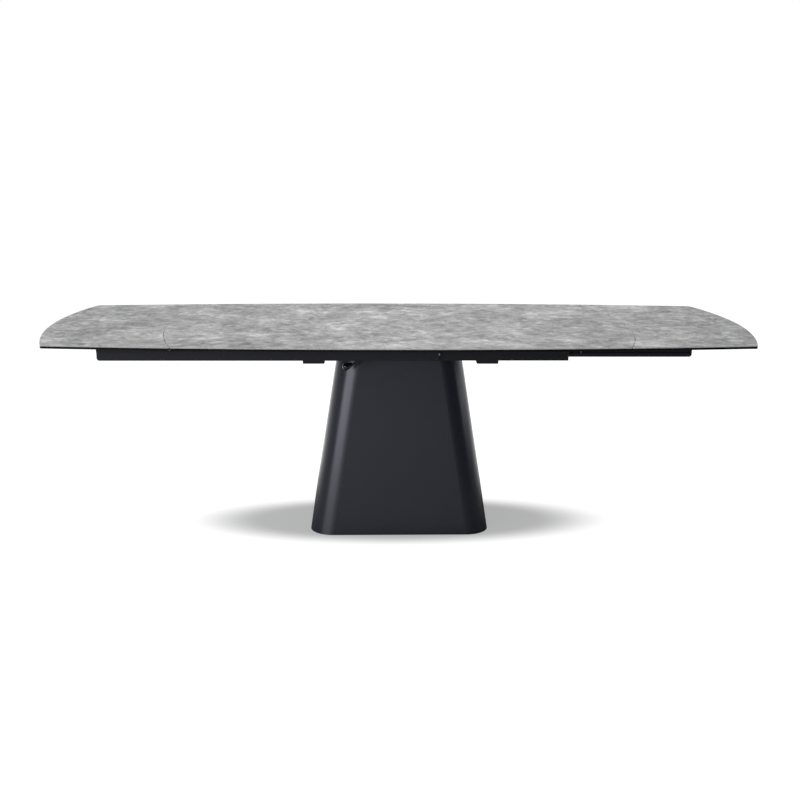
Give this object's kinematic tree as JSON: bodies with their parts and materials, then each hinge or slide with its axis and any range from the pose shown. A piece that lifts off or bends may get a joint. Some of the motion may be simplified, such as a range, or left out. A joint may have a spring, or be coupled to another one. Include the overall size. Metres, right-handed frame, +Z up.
{
  "type": "extendable dining table",
  "caption": "Extendable pedestal dining table: grey ceramic barrel-shaped top, crescent end leaves that lower and slide in under it on rails, tapered dark steel base.",
  "frame": {"origin": "on the floor under the middle of the top", "axes": "+X along the table's length, -Y towards the viewer of the picture, +Z up"},
  "size_m": [2.6998, 1.045, 0.76],
  "materials": {
    "ceramic": "matt concrete-look ceramic, mottled grey",
    "edge_glass": "black tempered glass, satin edge",
    "powder_coat": "satin blue-charcoal powder coat",
    "primed_steel": "matt black primer",
    "black_aluminium": "black anodised extrusion",
    "black_steel": "black powder coat",
    "plain_steel": "bright zinc plate",
    "zinc_steel": "zinc-plated fasteners",
    "foot_steel": "plated levelling foot",
    "nylon": "black nylon",
    "rubber": "black rubber",
    "knob_plastic": "gloss black"
  },
  "bodies": {
    "root": {"main_top_ceramic": "ceramic", "main_top_glass": "edge_glass", "front_guide_beam": "black_steel", "rear_guide_beam": "black_steel", "guide_end_caps": "nylon", "rail_runners": "nylon", "left_cross_beam": "black_steel", "right_cross_beam": "black_steel", "front_spine_beam": "black_steel", "rear_spine_beam": "black_steel", "guide_bolts": "black_steel", "spine_bolts": "zinc_steel", "top_spacers": "black_steel", "top_pads": "rubber", "stay_posts": "zinc_steel", "release_brackets": "black_steel", "pedestal_shell": "powder_coat", "pedestal_head_plate": "powder_coat", "pedestal_column": "primed_steel", "pedestal_base_plate": "primed_steel", "foot_nuts": "zinc_steel"},
    "left_stay_lever": {"left_stay_lever": "plain_steel", "left_stay_elbow_pin": "zinc_steel"},
    "left_stay_rod": {"left_stay_rod": "plain_steel"},
    "left_carriage": {"left_outer_rail": "black_aluminium", "left_inner_rail": "black_aluminium", "left_rail_caps": "nylon", "left_rail_stops": "black_steel", "left_crank_pivot_pins": "black_steel", "left_end_beam": "black_steel", "left_stay_bracket": "black_steel"},
    "left_outer_crank": {"left_outer_cranks": "black_steel"},
    "left_inner_crank": {"left_inner_cranks": "black_steel"},
    "left_leaf": {"left_leaf_ceramic": "ceramic", "left_leaf_glass": "edge_glass", "left_leaf_brackets": "black_steel"},
    "left_release": {"left_release_lever": "black_steel", "left_release_knob": "knob_plastic"},
    "right_stay_lever": {"right_stay_lever": "plain_steel", "right_stay_elbow_pin": "zinc_steel"},
    "right_stay_rod": {"right_stay_rod": "plain_steel"},
    "right_carriage": {"right_outer_rail": "black_aluminium", "right_inner_rail": "black_aluminium", "right_rail_caps": "nylon", "right_rail_stops": "black_steel", "right_crank_pivot_pins": "black_steel", "right_end_beam": "black_steel", "right_stay_bracket": "black_steel"},
    "right_outer_crank": {"right_outer_cranks": "black_steel"},
    "right_inner_crank": {"right_inner_cranks": "black_steel"},
    "right_leaf": {"right_leaf_ceramic": "ceramic", "right_leaf_glass": "edge_glass", "right_leaf_brackets": "black_steel"},
    "right_release": {"right_release_lever": "black_steel", "right_release_knob": "knob_plastic"},
    "front_left_foot": {"front_left_foot": "foot_steel"},
    "front_right_foot": {"front_right_foot": "foot_steel"},
    "rear_left_foot": {"rear_left_foot": "foot_steel"},
    "rear_right_foot": {"rear_right_foot": "foot_steel"}
  },
  "joints": [
    {"name": "left_stay_fold", "type": "hinge", "parent": "root", "child": "left_stay_lever", "pos_m": [-0.06, 0.137, 0.68704], "axis": [0, 0, 1], "range_deg": [0, 105]},
    {"name": "left_stay_elbow", "type": "hinge", "parent": "left_stay_lever", "child": "left_stay_rod", "pos_m": [-0.30142, 0.22487, 0.69354], "axis": [0, 0, 1], "range_deg": [-210, 0]},
    {"name": "left_stay_end", "type": "hinge", "parent": "left_stay_rod", "child": "left_carriage", "pos_m": [-0.54283, 0.137, 0.69354], "axis": [0, 0, 1], "range_deg": [0, 105]},
    {"name": "left_outer_crank_lift", "type": "hinge", "parent": "left_carriage", "child": "left_outer_crank", "pos_m": [-1.053, -0.3555, 0.713], "axis": [0, -1, 0], "range_deg": [0, 105]},
    {"name": "left_inner_crank_lift", "type": "hinge", "parent": "left_carriage", "child": "left_inner_crank", "pos_m": [-0.903, -0.3555, 0.713], "axis": [0, -1, 0], "range_deg": [0, 105]},
    {"name": "left_leaf_level", "type": "hinge", "parent": "left_outer_crank", "child": "left_leaf", "pos_m": [-1.07363, -0.3505, 0.71664], "axis": [0, -1, 0], "range_deg": [-105, 0]},
    {"name": "left_release_turn", "type": "hinge", "parent": "root", "child": "left_release", "pos_m": [-0.155, -0.311, 0.67104], "axis": [0, -1, 0], "range_deg": [0, 60]},
    {"name": "right_stay_fold", "type": "hinge", "parent": "root", "child": "right_stay_lever", "pos_m": [0.06, -0.137, 0.68704], "axis": [0, 0, 1], "range_deg": [0, 105]},
    {"name": "right_stay_elbow", "type": "hinge", "parent": "right_stay_lever", "child": "right_stay_rod", "pos_m": [0.30142, -0.22487, 0.69354], "axis": [0, 0, 1], "range_deg": [-210, 0]},
    {"name": "right_stay_end", "type": "hinge", "parent": "right_stay_rod", "child": "right_carriage", "pos_m": [0.54283, -0.137, 0.69354], "axis": [0, 0, 1], "range_deg": [0, 105]},
    {"name": "right_outer_crank_lift", "type": "hinge", "parent": "right_carriage", "child": "right_outer_crank", "pos_m": [1.053, 0.3555, 0.713], "axis": [0, 1, 0], "range_deg": [0, 105]},
    {"name": "right_inner_crank_lift", "type": "hinge", "parent": "right_carriage", "child": "right_inner_crank", "pos_m": [0.903, 0.3555, 0.713], "axis": [0, 1, 0], "range_deg": [0, 105]},
    {"name": "right_leaf_level", "type": "hinge", "parent": "right_outer_crank", "child": "right_leaf", "pos_m": [1.07363, 0.3505, 0.71664], "axis": [0, 1, 0], "range_deg": [-105, 0]},
    {"name": "right_release_turn", "type": "hinge", "parent": "root", "child": "right_release", "pos_m": [0.155, 0.311, 0.67104], "axis": [0, 1, 0], "range_deg": [0, 60]},
    {"name": "front_left_foot_turn", "type": "hinge", "parent": "root", "child": "front_left_foot", "pos_m": [-0.25, -0.25, 0.014], "axis": [0, 0, 1], "continuous": true},
    {"name": "front_right_foot_turn", "type": "hinge", "parent": "root", "child": "front_right_foot", "pos_m": [0.25, -0.25, 0.014], "axis": [0, 0, 1], "continuous": true},
    {"name": "rear_left_foot_turn", "type": "hinge", "parent": "root", "child": "rear_left_foot", "pos_m": [-0.25, 0.25, 0.014], "axis": [0, 0, 1], "continuous": true},
    {"name": "rear_right_foot_turn", "type": "hinge", "parent": "root", "child": "rear_right_foot", "pos_m": [0.25, 0.25, 0.014], "axis": [0, 0, 1], "continuous": true}
  ],
  "couplings": [
    {"joint": "left_stay_elbow", "follows": "left_stay_fold", "ratio": -2},
    {"joint": "left_stay_end", "follows": "left_stay_fold", "ratio": 1},
    {"joint": "left_outer_crank_lift", "follows": "left_stay_fold", "ratio": 1},
    {"joint": "left_inner_crank_lift", "follows": "left_stay_fold", "ratio": 1},
    {"joint": "left_leaf_level", "follows": "left_stay_fold", "ratio": -1},
    {"joint": "right_stay_elbow", "follows": "right_stay_fold", "ratio": -2},
    {"joint": "right_stay_end", "follows": "right_stay_fold", "ratio": 1},
    {"joint": "right_outer_crank_lift", "follows": "right_stay_fold", "ratio": 1},
    {"joint": "right_inner_crank_lift", "follows": "right_stay_fold", "ratio": 1},
    {"joint": "right_leaf_level", "follows": "right_stay_fold", "ratio": -1}
  ]
}
